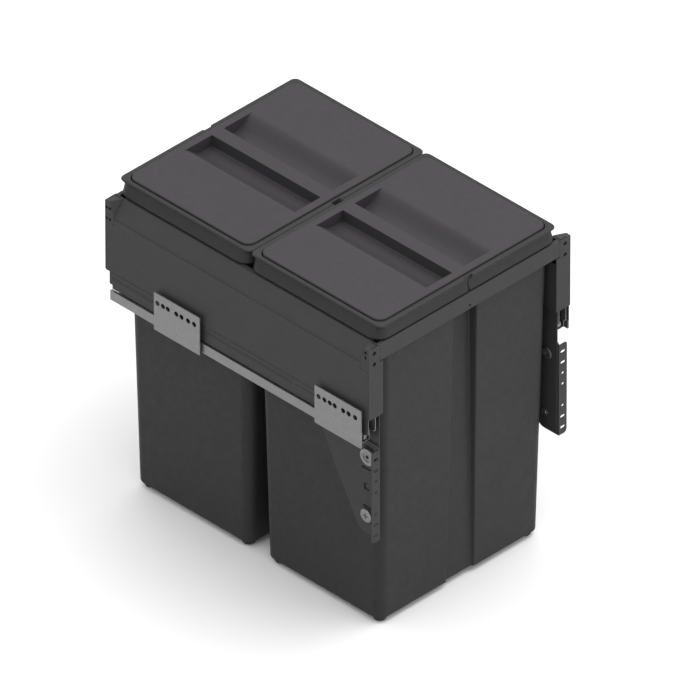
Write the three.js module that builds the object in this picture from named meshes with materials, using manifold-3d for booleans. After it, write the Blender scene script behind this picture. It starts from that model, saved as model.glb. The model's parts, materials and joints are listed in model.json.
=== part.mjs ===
// Pull-out waste unit for a 400 mm kitchen base cabinet: two lidded bins hang in a steel frame
// that runs on a pair of telescopic slides. Millimetres, +Z up, +X right and +Y back as seen
// from the front. The origin is under the middle of the unit, level with the bins' feet.
import * as THREE from 'three';
import { mergeVertices } from 'three/addons/utils/BufferGeometryUtils.js';
import Module from 'manifold-3d';

const wasm = await Module();
wasm.setup();

// ---- driving dimensions -------------------------------------------------------------------
const cabinetWidth = 356; // across the outer faces of the cabinet brackets
const unitDepth = 451;
const halfDepth = unitDepth / 2;
const sheet = 1.2; // folded steel sheet
const thickSheet = 1.5; // brackets and arms
const gap = 0.3; // clearance between touching pieces

const panelOuter = 172; // outer face of a side panel
const panelInner = 148;
const panelBottom = 329.6;
const panelShoulder = 409.8; // where the outer face starts to lean in
const panelCrest = 155.3; // outer edge of the narrow top
const frameTop = 432.2;

const crossRailBottom = 408.5;
const crossRailDepth = 6.5;
const crossRailHalfLength = 153.5;
const cornerBottom = 400;
const cornerLength = 15;
const postBottom = panelBottom;

const slideHalfLength = 213;
const cabinetRail = { inner: 158, outer: 174, bottom: 290.3, top: 304.2, rearEnd: 215.6 };
const drawerRail = { inner: 156.3, outer: 169.4, bottom: 306.5, top: 329 };
const midWeb = { inner: 163.7, outer: 165.1 };
const lowerHead = { inner: 163.4, outer: 168.6, bottom: 294.2, top: 300.8 };
const upperHead = { inner: 160.6, outer: 165.1, bottom: 311.5, top: 323.5 };
const cageLength = 180;
const ballsPerRow = 4;

const softClose = { inner: 150.6, outer: 157.7, front: 30, rear: 200, bottom: 290.5, top: 303 };
const skirt = { bottom: 306.4, top: 329.3, rearEnd: 218.4, step: 4.8, stepTop: 311.8 };
const cabinetBracket = { thickness: 2, bottom: 288, top: 343.2, holeRadius: 3.5, holeDrop: 13.9 };

const armInner = 151.3; // inner plate that hangs from the frame
const leafInner = 153.1; // door bracket's sheet, outside the arm
const doorFlange = { reach: 166.8, bottom: 145, top: 278.5, holeX: 160.1, holeRadius: 2 };
const camCentre = { y: -207.4, z: 260.2 };
const clampCentre = { y: -204.3, z: 171.7 };
const cam = { radius: 11.8, bore: 7.2, thickness: 3 };
const clamp = { radius: 9.3, bore: 3.6, thickness: 2.2 };
const liftTravel = 2.2; // how far the door bracket's slotted bores let it go up or down

const bin = { pitch: 224, bottom: 7.9, top: 432.2, halfX: 137.5, halfY: 97.5, draft: 0.0208 };
const binWall = 2;
const binRim = { halfX: 150.4, halfY: 108, thickness: 1.5 };
const binRadius = 17;
const binRecess = { halfWidth: 19, floorY: 94.2, flare: 5 };
const foot = { x: 124.3, y: 84.3, low: 8.2, high: 10.2 };
const collar = { halfX: 154, halfY: 111.6, notchDepth: 4.6 };
const lid = { halfX: 144.2, halfY: 103.8, radius: 13, bottom: 449.5, top: 457.4, skin: 2.2 };
const scoop = { start: 10, floorEnd: 27, end: 51, depth: 16, halfLength: 93 };

// ---- colours ------------------------------------------------------------------------------
const finish = {
  powderCoat: { color: 0x47474a, roughness: 0.55, metalness: 0.1 },
  zinc: { color: 0x9c9c9c, roughness: 0.35, metalness: 0.9 },
  binPlastic: { color: 0x3b3b3d, roughness: 0.6, metalness: 0 },
  lidPlastic: { color: 0x565458, roughness: 0.55, metalness: 0 },
  blackPlastic: { color: 0x202022, roughness: 0.5, metalness: 0 },
};

// ---- solid helpers ------------------------------------------------------------------------
function toSolid(geometry) {
  const bare = geometry.clone();
  bare.deleteAttribute('normal');
  bare.deleteAttribute('uv');
  const merged = mergeVertices(bare, 1e-4);
  const vertProperties = Float32Array.from(merged.attributes.position.array);
  const triVerts = Uint32Array.from(merged.index.array);
  return new wasm.Manifold(new wasm.Mesh({ numProp: 3, vertProperties, triVerts }));
}

function toGeometry(solid) {
  const mesh = solid.getMesh();
  const geometry = new THREE.BufferGeometry();
  geometry.setAttribute('position', new THREE.BufferAttribute(mesh.vertProperties, 3));
  geometry.setIndex(new THREE.BufferAttribute(mesh.triVerts, 1));
  geometry.computeVertexNormals();
  return geometry;
}

function join(...geometries) {
  return toGeometry(geometries.map(toSolid).reduce((whole, piece) => whole.add(piece)));
}

function cut(base, ...tools) {
  return toGeometry(tools.map(toSolid).reduce((rest, tool) => rest.subtract(tool), toSolid(base)));
}

function block([x0, x1], [y0, y1], [z0, z1]) {
  const geometry = new THREE.BoxGeometry(x1 - x0, y1 - y0, z1 - z0);
  return geometry.translate((x0 + x1) / 2, (y0 + y1) / 2, (z0 + z1) / 2);
}

// An outline drawn in (y, z) and pushed along +X, and one drawn in (x, z) and pushed along +Y.
function alongX(outline, x0, x1, curveSegments = 6) {
  const geometry = new THREE.ExtrudeGeometry(outline, {
    depth: x1 - x0, bevelEnabled: false, curveSegments,
  });
  const turn = new THREE.Matrix4().makeBasis(
    new THREE.Vector3(0, 1, 0), new THREE.Vector3(0, 0, 1), new THREE.Vector3(1, 0, 0));
  return geometry.applyMatrix4(turn).translate(x0, 0, 0);
}

function alongY(outline, y0, y1, curveSegments = 6) {
  const geometry = new THREE.ExtrudeGeometry(outline, {
    depth: y1 - y0, bevelEnabled: false, curveSegments,
  });
  const turn = new THREE.Matrix4().makeBasis(
    new THREE.Vector3(1, 0, 0), new THREE.Vector3(0, 0, 1), new THREE.Vector3(0, -1, 0));
  return geometry.applyMatrix4(turn).translate(0, y1, 0);
}

function polygon(points) {
  return new THREE.Shape(points.map(([u, v]) => new THREE.Vector2(u, v)));
}

function roundedOutline(u0, u1, v0, v1, r) {
  const shape = new THREE.Shape();
  shape.absarc(u1 - r, v0 + r, r, -Math.PI / 2, 0);
  shape.absarc(u1 - r, v1 - r, r, 0, Math.PI / 2);
  shape.absarc(u0 + r, v1 - r, r, Math.PI / 2, Math.PI);
  shape.absarc(u0 + r, v0 + r, r, Math.PI, Math.PI * 1.5);
  return shape;
}

function rodX(y, z, radius, x0, x1, sides = 12) {
  const geometry = new THREE.CylinderGeometry(radius, radius, x1 - x0, sides);
  return geometry.rotateZ(Math.PI / 2).translate((x0 + x1) / 2, y, z);
}

function rodY(x, z, radius, y0, y1, sides = 12) {
  const geometry = new THREE.CylinderGeometry(radius, radius, y1 - y0, sides);
  return geometry.translate(x, (y0 + y1) / 2, z);
}

function mirrored(geometry, axis) {
  const position = geometry.attributes.position;
  for (let i = 0; i < position.count; i++) {
    if (axis === 'x') position.setX(i, -position.getX(i));
    if (axis === 'y') position.setY(i, -position.getY(i));
  }
  const index = geometry.index.array;
  for (let i = 0; i < index.length; i += 3) {
    const kept = index[i];
    index[i] = index[i + 1];
    index[i + 1] = kept;
  }
  geometry.computeVertexNormals();
  return geometry;
}

// Skins a stack of rings that all have the same number of points. A closed stack is a loop of
// rings with a hole through it; an open stack is capped at its first and last ring.
function loft(rings, closed) {
  const count = rings[0].length;
  const positions = rings.flat(2);
  const index = [];
  const bands = closed ? rings.length : rings.length - 1;
  for (let band = 0; band < bands; band++) {
    const low = band * count;
    const high = ((band + 1) % rings.length) * count;
    for (let i = 0; i < count; i++) {
      const next = (i + 1) % count;
      index.push(low + i, low + next, high + next, low + i, high + next, high + i);
    }
  }
  if (!closed) {
    const caps = [[rings[0], 0, true], [rings.at(-1), (rings.length - 1) * count, false]];
    for (const [ring, base, flip] of caps) {
      const flat = ring.map(([x, y]) => new THREE.Vector2(x, y));
      for (const [a, b, c] of THREE.ShapeUtils.triangulateShape(flat, [])) {
        index.push(base + a, base + (flip ? c : b), base + (flip ? b : c));
      }
    }
  }
  const geometry = new THREE.BufferGeometry();
  geometry.setAttribute('position', new THREE.Float32BufferAttribute(positions, 3));
  geometry.setIndex(index);
  return geometry;
}

// Rounded rectangle in plan, anticlockwise from the front edge, at height z.
function planRing(halfX, halfY, radius, z, arcSteps = 4) {
  const ring = [];
  const centres = [[1, -1], [1, 1], [-1, 1], [-1, -1]];
  centres.forEach(([sx, sy], corner) => {
    for (let step = 0; step <= arcSteps; step++) {
      const angle = (corner - 1 + step / arcSteps) * Math.PI / 2;
      const x = sx * (halfX - radius) + radius * Math.cos(angle);
      const y = sy * (halfY - radius) + radius * Math.sin(angle);
      ring.push([x, y, z]);
    }
  });
  return ring;
}

// ---- cabinet side: rails and brackets that stay still ---------------------------------------
function makeCabinetRail() {
  const { inner, outer, bottom, top } = cabinetRail;
  const lip = 4;
  const channel = polygon([
    [inner, bottom], [outer, bottom], [outer, top], [outer - lip, top], [outer - lip, top - sheet],
    [outer - sheet, top - sheet], [outer - sheet, bottom + sheet], [inner + sheet, bottom + sheet],
    [inner + sheet, top - sheet], [inner + lip, top - sheet], [inner + lip, top], [inner, top],
  ]);
  return alongY(channel, -slideHalfLength, cabinetRail.rearEnd);
}

// A plate screwed to the cabinet's side wall, with a thicker foot that carries the rail.
function makeCabinetBracket(front, rear, holeOffsets) {
  const { thickness, bottom, top, holeRadius, holeDrop } = cabinetBracket;
  const plateInner = cabinetWidth / 2 - thickness;
  const setIn = 6;
  const plate = block([plateInner, cabinetWidth / 2], [front, rear], [bottom, top]);
  const seat = block([cabinetRail.outer + gap, plateInner + 1], [front + setIn, rear - setIn],
    [cabinetRail.bottom, cabinetRail.top - 1]);
  const holes = holeOffsets.map((offset) => (
    rodX(rear - offset, top - holeDrop, holeRadius, plateInner - 1, cabinetWidth / 2 + 1, 14)));
  return cut(join(plate, seat), ...holes);
}

function makeSoftCloseHousing() {
  const { inner, outer, front, rear, bottom, top } = softClose;
  const body = block([inner, outer], [front, rear], [bottom, top]);
  const track = block([inner + 2, outer - 2], [118, rear - 3], [bottom + 5.5, top + 1]);
  return cut(body, track);
}

function makeSoftCloseCatch() {
  const width = [softClose.inner + 2.3, softClose.outer - 2.3];
  const slider = block(width, [176, 192], [softClose.bottom + 5.9, softClose.top + 0.5]);
  const prong = block(width, [186, 192], [softClose.top, softClose.top + 5]);
  return join(slider, prong);
}

// ---- moving slide members -------------------------------------------------------------------
function makeMidRail() {
  const { inner, outer } = midWeb;
  const section = polygon([
    [lowerHead.inner, lowerHead.bottom], [lowerHead.outer, lowerHead.bottom],
    [lowerHead.outer, lowerHead.top], [outer, lowerHead.top],
    [upperHead.outer, upperHead.top], [upperHead.inner, upperHead.top],
    [upperHead.inner, upperHead.bottom], [inner, upperHead.bottom],
    [inner, lowerHead.top], [lowerHead.inner, lowerHead.top],
  ]);
  return alongY(section, -slideHalfLength, slideHalfLength - 6);
}

function ballRow(x, z, radius) {
  const balls = [];
  const spacing = (cageLength - 20) / (ballsPerRow - 1);
  for (let i = 0; i < ballsPerRow; i++) {
    const ball = new THREE.SphereGeometry(radius, 6, 4);
    balls.push(ball.translate(x, (i - (ballsPerRow - 1) / 2) * spacing, z));
  }
  return balls;
}

// A cage is a folded strip that carries one row of balls on each side of a rail head.
function makeBallCage(innerX, outerX, bridgeZ, farZ, ballZ, ballRadius) {
  const strip = 0.8;
  const low = Math.min(bridgeZ, farZ);
  const high = Math.max(bridgeZ, farZ);
  const bridgeSide = bridgeZ < farZ ? [low, low + strip] : [high - strip, high];
  const span = [-cageLength / 2, cageLength / 2];
  return join(
    block([innerX - strip / 2, outerX + strip / 2], span, bridgeSide),
    block([innerX - strip / 2, innerX + strip / 2], span, [low, high]),
    block([outerX - strip / 2, outerX + strip / 2], span, [low, high]),
    ...ballRow(innerX, ballZ, ballRadius),
    ...ballRow(outerX, ballZ, ballRadius));
}

function makeDrawerRail() {
  const { inner, outer, bottom, top } = drawerRail;
  const innerLip = 160.2;
  const outerLip = 166.4;
  const channel = polygon([
    [inner, bottom], [innerLip, bottom], [innerLip, bottom + sheet], [inner + sheet, bottom + sheet],
    [inner + sheet, top - sheet], [outer - sheet, top - sheet], [outer - sheet, bottom + sheet],
    [outerLip, bottom + sheet], [outerLip, bottom], [outer, bottom], [outer, top], [inner, top],
  ]);
  return alongY(channel, -halfDepth + 4, slideHalfLength);
}

// ---- frame ----------------------------------------------------------------------------------
function makeSidePanel() {
  const profile = polygon([
    [panelInner, panelBottom], [panelInner + sheet, panelBottom],
    [panelInner + sheet, frameTop - sheet], [panelCrest - 0.5, frameTop - sheet],
    [panelOuter - sheet, panelShoulder - 0.5], [panelOuter - sheet, panelBottom],
    [panelOuter, panelBottom], [panelOuter, panelShoulder],
    [panelOuter - 0.6, panelShoulder + 2], [panelCrest, frameTop], [panelInner, frameTop],
  ]);
  const end = halfDepth - thickSheet - gap;
  const panel = alongY(profile, -end, end);
  const shoulderCuts = [-1, 1].map((side) => {
    const near = side * (halfDepth - cornerLength - gap);
    const far = side * (halfDepth + 5);
    const span = [Math.min(near, far), Math.max(near, far)];
    return block([140, 180], span, [cornerBottom - gap, frameTop + 5]);
  });
  return cut(panel, ...shoulderCuts);
}

function makeSideSkirt() {
  const outer = panelOuter;
  const plate = block([outer - sheet, outer], [-halfDepth + 2, skirt.rearEnd],
    [skirt.bottom, skirt.top]);
  const step = block([outer - 3, outer + 1], [skirt.rearEnd - skirt.step, skirt.rearEnd + 1],
    [skirt.bottom - 1, skirt.stepTop]);
  const slots = [309.5, 322].map((z) => (
    block([outer - 0.5, outer + 1], [-halfDepth + 20, -100], [z - 0.5, z + 0.5])));
  return cut(plate, step, ...slots);
}

function makeCrossRail() {
  const front = -halfDepth;
  const length = crossRailHalfLength;
  const face = block([-length, length], [front, front + thickSheet], [crossRailBottom, frameTop]);
  const topFlange = block([-length, length], [front, front + crossRailDepth],
    [frameTop - thickSheet, frameTop]);
  const bottomFlange = block([-panelInner + 1, panelInner - 1], [front, front + crossRailDepth],
    [crossRailBottom, crossRailBottom + thickSheet]);
  const hole = rodY(0, crossRailBottom + 6.7, 1.75, front - 1, front + 3);
  return cut(join(face, topFlange, bottomFlange), hole);
}

function makeCornerPiece(sideHoles) {
  const front = -halfDepth;
  const back = front + cornerLength;
  const top = frameTop + 0.4;
  const sideEdge = crossRailHalfLength + gap;
  const shell = block([sideEdge, panelOuter], [front, back], [cornerBottom, top]);
  const inside = block([sideEdge - 1, panelOuter - thickSheet], [front + thickSheet, back + 1],
    [cornerBottom - 1, top - thickSheet]);
  const post = block([panelInner, panelOuter], [front, front + thickSheet],
    [postBottom, crossRailBottom - gap]);
  const frontHoles = [424.7, 408.8].map((z) => rodY(162.8, z, 2.75, front - 1, front + 3));
  const outerHoles = sideHoles.map(([setBack, z]) => (
    rodX(front + setBack, z, 2.1, panelOuter - 3, panelOuter + 1)));
  return cut(join(cut(shell, inside), post), ...frontHoles, ...outerHoles);
}

// The arm hangs inside the frame and carries the door bracket on its cam and its clamp screw.
function makeSupportArm() {
  const outline = polygon([
    [-223.5, 345], [-223.5, 153], [-218.5, 148], [-201, 148], [-196, 151], [-191, 158],
    [-159, 214], [-128, 276], [-128, 345],
  ]);
  const through = [armInner - 1, armInner + thickSheet + 1];
  return cut(alongX(outline, armInner, armInner + thickSheet),
    rodX(camCentre.y, camCentre.z, cam.bore, ...through, 20),
    rodX(clampCentre.y, clampCentre.z, clamp.bore, ...through));
}

// One bent sheet: a triangular leaf beside the arm and a flange that the door is screwed to.
function makeDoorBracket() {
  const leafOuter = leafInner + thickSheet;
  const front = -halfDepth;
  const bendY = front + thickSheet / 2;
  const { reach, bottom, top, holeX, holeRadius } = doorFlange;
  const leaf = alongX(polygon([
    [bendY, bottom], [-201, bottom], [-195.5, 146], [-191.6, 148.4], [-188.5, 153],
    [-179.3, 169.2], [-152.6, 216.2], [-129.5, 262.5], [-119.4, 283], [-221, 283], [bendY, top],
  ]), leafInner, leafOuter);
  const face = new THREE.Shape();
  const lowRadius = 5;
  const highRadius = 3;
  face.moveTo(leafInner, bottom);
  face.absarc(reach - lowRadius, bottom + lowRadius, lowRadius, -Math.PI / 2, 0);
  face.absarc(reach - highRadius, top - highRadius, highRadius, 0, Math.PI / 2);
  face.lineTo(leafInner, top);
  const flange = alongY(face, front, front + thickSheet, 3);
  const holes = [267, 251, 235, 219, 187, 171, 155].map((z) => {
    const slotHalf = (z > 240 || z < 180) ? 2.2 : 0.4;
    const outline = roundedOutline(holeX - slotHalf - holeRadius, holeX + slotHalf + holeRadius,
      z - holeRadius, z + holeRadius, holeRadius - 0.01);
    return alongY(outline, front - 1, front + thickSheet + 1, 2);
  });
  const through = [leafInner - 1, leafOuter + 1];
  const bores = [[camCentre, cam.bore], [clampCentre, clamp.bore]].map(([{ y, z }, r]) => (
    alongX(roundedOutline(y - r, y + r, z - r - liftTravel, z + r + liftTravel, r - 0.1),
      ...through, 2)));
  const slots = [
    block(through, [-214, -200], [273.6, 275.2]),
    block(through, [-211.6, -195.9], [239.6, 242]),
    join(block(through, [-203, -199.8], [206, 218]), block(through, [-209, -199.8], [209, 212])),
    block(through, [-213.4, -198.6], [182.3, 186.7]),
  ];
  return cut(join(leaf, flange), ...holes, ...bores, ...slots);
}

// Height cam: a disc with a hexagon socket, turning on a boss in the support arm.
function makeHeightCam() {
  const inner = leafInner + thickSheet + gap;
  const outer = inner + cam.thickness;
  const disc = rodX(0, 0, cam.radius, inner, outer, 28);
  const boss = rodX(0, 0, cam.bore - gap, armInner + 0.1, inner + 1, 20);
  const recess = rodX(0, 0, 6.5, outer - 1.2, outer + 1, 24);
  const socket = rodX(0, 0, 3, inner - 1, outer, 6);
  return cut(join(disc, boss), recess, socket);
}

function makeCamWasher() {
  const span = [armInner - gap - 1.5, armInner - gap];
  return cut(rodX(0, 0, 10, ...span, 20), rodX(0, 0, 3.2, span[0] - 1, span[1] + 1));
}

function makeClampScrew() {
  const inner = leafInner + thickSheet + gap;
  const outer = inner + clamp.thickness;
  const head = rodX(0, 0, clamp.radius, inner, outer, 24);
  const shank = rodX(0, 0, 3, armInner - 2.1, inner + 1, 12);
  const cross = [[4.2, 0.7], [0.7, 4.2]].map(([dy, dz]) => (
    block([outer - 1.2, outer + 1], [-dy, dy], [-dz, dz])));
  return cut(join(head, shank), ...cross);
}

function makeClampNut() {
  const span = [armInner - gap - 1.6, armInner - gap];
  return cut(rodX(0, 0, 5.7, ...span, 6), rodX(0, 0, 3 + gap, span[0] - 1, span[1] + 1));
}

// ---- bins -----------------------------------------------------------------------------------
// A bin wall's outline: rounded corners, and an upright recess in the front and rear faces. The
// recess has an upright floor, so it gets deeper as the wall leans out.
function binRing(z, inset, recessed, insetY = inset) {
  const growth = (z - bin.bottom) * bin.draft;
  const halfX = bin.halfX + growth - inset;
  const halfY = bin.halfY + growth - insetY;
  const taper = 1 - (z - bin.bottom) / (bin.top - bin.bottom);
  const mouth = binRecess.halfWidth + binRecess.flare * taper + inset;
  const floorY = recessed ? binRecess.floorY - insetY : halfY;
  const ring = planRing(halfX, halfY, binRadius - inset, z);
  const perCorner = ring.length / 4;
  const recess = (side) => [
    [-mouth, -halfY], [-mouth + 2, -floorY], [mouth - 2, -floorY], [mouth, -halfY],
  ].map(([x, y]) => [side * x, side * y, z]);
  return [
    ...recess(1), ...ring.slice(0, 2 * perCorner), ...recess(-1), ...ring.slice(2 * perCorner),
  ];
}

function makeBin() {
  const growth = (bin.top - bin.bottom) * bin.draft;
  const rimOutX = binRim.halfX - bin.halfX - growth;
  const rimOutY = binRim.halfY - bin.halfY - growth;
  const rimLow = frameTop + gap;
  const rimHigh = rimLow + binRim.thickness;
  const rings = [
    binRing(bin.bottom, 2, true), binRing(bin.bottom + 2, 0, true),
    binRing(bin.top - 4, 0, true), binRing(rimLow, 0, false),
    binRing(rimLow, -rimOutX, false, -rimOutY), binRing(rimHigh, -rimOutX, false, -rimOutY),
    binRing(rimHigh, binWall, false),
    binRing(bin.top - 0.8, binWall, true),
    binRing(bin.bottom + binWall + 0.5, binWall + 1, true),
  ];
  const feet = [[-1, -1], [1, -1], [1, 1], [-1, 1]].map(([sx, sy]) => {
    const height = bin.bottom + 1;
    const peg = new THREE.CylinderGeometry(foot.high, foot.low, height, 14).rotateX(Math.PI / 2);
    return peg.translate(sx * foot.x, sy * foot.y, height / 2);
  });
  return join(loft(rings, false), ...feet);
}

// The collar clamps the bag over the bin's rim and holds the lid. Its section runs round the rim:
// set in from the ends, set in from the front and rear, corner radius, height.
function makeCollar() {
  const ledge = lid.bottom - gap;
  const section = [
    [5.6, 5.2, 14, 434.3], [1, 1, 17.5, 434.3], [0, 0, 18, 436], [2.6, 1.9, 15, 442],
    [4.6, 2.4, 11.5, 448], [4.2, 1.3, 9.5, 451], [3, -0.25, 8.5, 453.4], [3.4, 0.1, 8.2, 455],
    [4.6, 1.3, 7.5, 455.7], [9.1, 7.2, 13.5, 455.4], [9.1, 7.2, 13.5, ledge],
    [11.7, 9.8, 12, ledge], [11.7, 9.8, 12, ledge - 3], [7.2, 6, 13, 443.5], [5.6, 5.2, 14, 439],
  ];
  const rings = section.map(([insetX, insetY, radius, z]) => (
    planRing(collar.halfX - insetX, collar.halfY - insetY, radius, z)));
  const ring = loft(rings, true);
  const notches = [-1, 1].map((side) => {
    const wedge = polygon([[-1.5, 440], [1.5, 440], [8, 451], [9.5, 460], [-9.5, 460], [-8, 451]]);
    const reach = [side * (collar.halfY - collar.notchDepth), side * (collar.halfY + 3)];
    return alongY(wedge, ...reach.sort((a, b) => a - b));
  });
  return cut(ring, ...notches);
}

function scoopOutline(grow, top) {
  const floor = lid.top - scoop.depth - grow;
  const shape = new THREE.Shape();
  shape.moveTo(scoop.start - grow, top);
  shape.lineTo(scoop.start + 1.5 - grow, floor);
  shape.lineTo(scoop.floorEnd, floor);
  shape.quadraticCurveTo(scoop.floorEnd + 13, floor, scoop.end + grow, lid.top - grow);
  shape.lineTo(scoop.end + grow, top);
  return shape;
}

function makeLid() {
  const { halfX, halfY, radius, bottom, top, skin } = lid;
  const deck = loft([
    planRing(halfX, halfY, radius, bottom), planRing(halfX, halfY, radius, top - 1.5),
    planRing(halfX - 1.5, halfY - 1.5, radius - 1.5, top),
  ], false);
  const under = loft([
    planRing(halfX - skin, halfY - skin, radius - skin, bottom - 2),
    planRing(halfX - skin, halfY - skin, radius - skin, top - skin),
  ], false);
  const pan = alongY(scoopOutline(skin, top - skin / 2), -scoop.halfLength - skin,
    scoop.halfLength + skin);
  const hollow = alongY(scoopOutline(0, top + 3), -scoop.halfLength, scoop.halfLength);
  const pans = join(pan.clone(), mirrored(toGeometry(toSolid(pan)), 'x'));
  const shell = join(cut(deck, under), pans);
  return cut(shell, hollow.clone(), mirrored(toGeometry(toSolid(hollow)), 'x'));
}

// ---- assembly -------------------------------------------------------------------------------
const unit = new THREE.Group();

function place(name, geometry, look, position = [0, 0, 0]) {
  const mesh = new THREE.Mesh(geometry, new THREE.MeshStandardMaterial(finish[look]));
  mesh.name = name;
  mesh.position.set(...position);
  unit.add(mesh);
}

// Every side piece is drawn on the right; the left one is its mirror image.
function placeSidePair(name, make, look, position = [0, 0, 0]) {
  for (const side of ['left', 'right']) {
    const geometry = toGeometry(toSolid(make()));
    const x = side === 'left' ? -position[0] : position[0];
    const handed = side === 'left' ? mirrored(geometry, 'x') : geometry;
    place(`${side}_${name}`, handed, look, [x, position[1], position[2]]);
  }
}

const frontBracketSpan = [-217.7, -138.7];
const rearBracketSpan = [57.5, 136];
placeSidePair('cabinet_rail', makeCabinetRail, 'zinc');
placeSidePair('front_cabinet_bracket',
  () => makeCabinetBracket(...frontBracketSpan, [7, 17, 26, 34.4, 48.6, 58, 69]), 'zinc');
placeSidePair('rear_cabinet_bracket',
  () => makeCabinetBracket(...rearBracketSpan, [6.2, 15.6, 24, 38.5, 47.4, 58.6, 69]), 'zinc');
placeSidePair('soft_close_housing', makeSoftCloseHousing, 'blackPlastic');
placeSidePair('soft_close_catch', makeSoftCloseCatch, 'blackPlastic');

placeSidePair('mid_rail', makeMidRail, 'zinc');
placeSidePair('lower_ball_cage',
  () => makeBallCage(161.3, 170.7, 292.3, 299.5, 297.2, 1.75), 'zinc', [0, -6.5, 0]);
placeSidePair('upper_ball_cage',
  () => makeBallCage(159.05, 166.65, 325.4, 315, 317.5, 1.25), 'zinc');
placeSidePair('drawer_rail', makeDrawerRail, 'zinc');

placeSidePair('side_panel', makeSidePanel, 'powderCoat');
placeSidePair('side_skirt', makeSideSkirt, 'powderCoat');
placeSidePair('front_corner', () => makeCornerPiece([[6.1, 427.3], [6.1, 420]]), 'powderCoat');
placeSidePair('rear_corner',
  () => mirrored(makeCornerPiece([[2.7, 422.3], [8.6, 422.3], [2.7, 406.4], [8.6, 406.4]]), 'y'),
  'powderCoat');
placeSidePair('support_arm', makeSupportArm, 'powderCoat');
placeSidePair('door_bracket', makeDoorBracket, 'powderCoat');
placeSidePair('height_cam', makeHeightCam, 'zinc', [0, camCentre.y, camCentre.z]);
placeSidePair('cam_washer', makeCamWasher, 'zinc', [0, camCentre.y, camCentre.z]);
placeSidePair('clamp_screw', makeClampScrew, 'zinc', [0, clampCentre.y, clampCentre.z]);
placeSidePair('clamp_nut', makeClampNut, 'zinc', [0, clampCentre.y, clampCentre.z]);

place('front_rail', makeCrossRail(), 'powderCoat');
place('rear_rail', mirrored(makeCrossRail(), 'y'), 'powderCoat');

for (const [name, side] of [['front', -1], ['rear', 1]]) {
  const middle = [0, side * bin.pitch / 2, 0];
  place(`${name}_bin`, makeBin(), 'binPlastic', middle);
  place(`${name}_collar`, makeCollar(), 'binPlastic', middle);
  place(`${name}_lid`, makeLid(), 'lidPlastic', middle);
}

export default unit;
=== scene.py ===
"""Looks of a pull-out waste unit: steel frame on slides, two moulded bins with collars and lids."""
import json
import math

import bmesh
import bpy
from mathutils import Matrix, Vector


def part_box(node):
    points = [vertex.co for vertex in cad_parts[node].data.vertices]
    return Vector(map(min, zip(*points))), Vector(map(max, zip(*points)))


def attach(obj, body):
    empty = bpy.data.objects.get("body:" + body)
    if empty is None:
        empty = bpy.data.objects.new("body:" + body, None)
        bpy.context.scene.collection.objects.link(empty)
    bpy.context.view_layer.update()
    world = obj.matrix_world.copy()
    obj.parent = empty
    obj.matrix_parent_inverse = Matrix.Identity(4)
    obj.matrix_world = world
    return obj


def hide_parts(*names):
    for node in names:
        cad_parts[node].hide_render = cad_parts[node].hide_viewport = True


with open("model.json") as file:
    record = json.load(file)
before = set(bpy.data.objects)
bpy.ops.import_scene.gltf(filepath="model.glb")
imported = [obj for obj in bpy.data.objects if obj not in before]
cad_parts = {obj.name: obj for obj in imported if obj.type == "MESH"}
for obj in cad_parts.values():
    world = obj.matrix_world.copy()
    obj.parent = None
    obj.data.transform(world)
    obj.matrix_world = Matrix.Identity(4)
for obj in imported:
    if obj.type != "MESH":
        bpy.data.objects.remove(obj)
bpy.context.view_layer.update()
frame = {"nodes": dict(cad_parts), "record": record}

MM = 0.001
GAP = 0.3 * MM  # between pieces that meet


# ---- materials ------------------------------------------------------------------------------
FADE = (0.3, 0.7)  # most values of a noise texture lie between these


class Recipe:
    """A Principled material with small helpers for the nodes that feed it."""

    def __init__(self, name):
        self.material = bpy.data.materials.new(name)
        self.material.use_nodes = True
        self.tree = self.material.node_tree
        self.shader = self.tree.nodes["Principled BSDF"]
        self.coords = self.node("ShaderNodeTexCoord").outputs["Object"]

    def node(self, kind, values=None):
        """Adds a node and sets the values of its inputs."""
        made = self.tree.nodes.new(kind)
        for name, value in (values or {}).items():
            made.inputs[name].default_value = value
        return made

    def link(self, source, target):
        self.tree.links.new(source, target)

    def noise(self, size_mm, detail, stretch=(1, 1, 1)):
        mapping = self.node("ShaderNodeMapping", {"Scale": stretch})
        self.link(self.coords, mapping.inputs["Vector"])
        made = self.node("ShaderNodeTexNoise", {"Scale": 1 / (size_mm * MM), "Detail": detail})
        self.link(mapping.outputs["Vector"], made.inputs["Vector"])
        return made.outputs["Fac"]

    def cells(self, size_mm):
        made = self.node("ShaderNodeTexVoronoi", {"Scale": 1 / (size_mm * MM)})
        made.feature = "SMOOTH_F1"
        self.link(self.coords, made.inputs["Vector"])
        return made.outputs["Distance"]

    def tint(self, source, dark, light):
        """Lets a noise move the base colour between two colours."""
        ramp = self.node("ShaderNodeValToRGB")
        for stop, place, colour in zip(ramp.color_ramp.elements, FADE, (dark, light)):
            stop.position = place
            stop.color = (*colour, 1)
        self.link(source, ramp.inputs["Fac"])
        self.link(ramp.outputs["Color"], self.shader.inputs["Base Color"])

    def roughen(self, source, low, high):
        """Lets a noise move the roughness between two values."""
        made = self.node("ShaderNodeMapRange", {"From Min": FADE[0], "From Max": FADE[1],
                                                "To Min": low, "To Max": high})
        self.link(source, made.inputs["Value"])
        self.link(made.outputs["Result"], self.shader.inputs["Roughness"])

    def bump(self, *layers):
        """Each layer is (height socket, strength, depth in mm)."""
        normal = None
        for height, strength, depth_mm in layers:
            made = self.node("ShaderNodeBump", {"Strength": strength, "Distance": depth_mm * MM})
            self.link(height, made.inputs["Height"])
            if normal is not None:
                self.link(normal, made.inputs["Normal"])
            normal = made.outputs["Normal"]
        self.link(normal, self.shader.inputs["Normal"])


def shades(level, spread, mauve=0.0):
    """A darker and a lighter grey around a linear level; mauve takes some green out of both."""
    return [tuple(level * (1 + side * spread) * (1 + mauve * k) for k in (0.5, -0.5, 0.5))
            for side in (-1, 1)]


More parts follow.
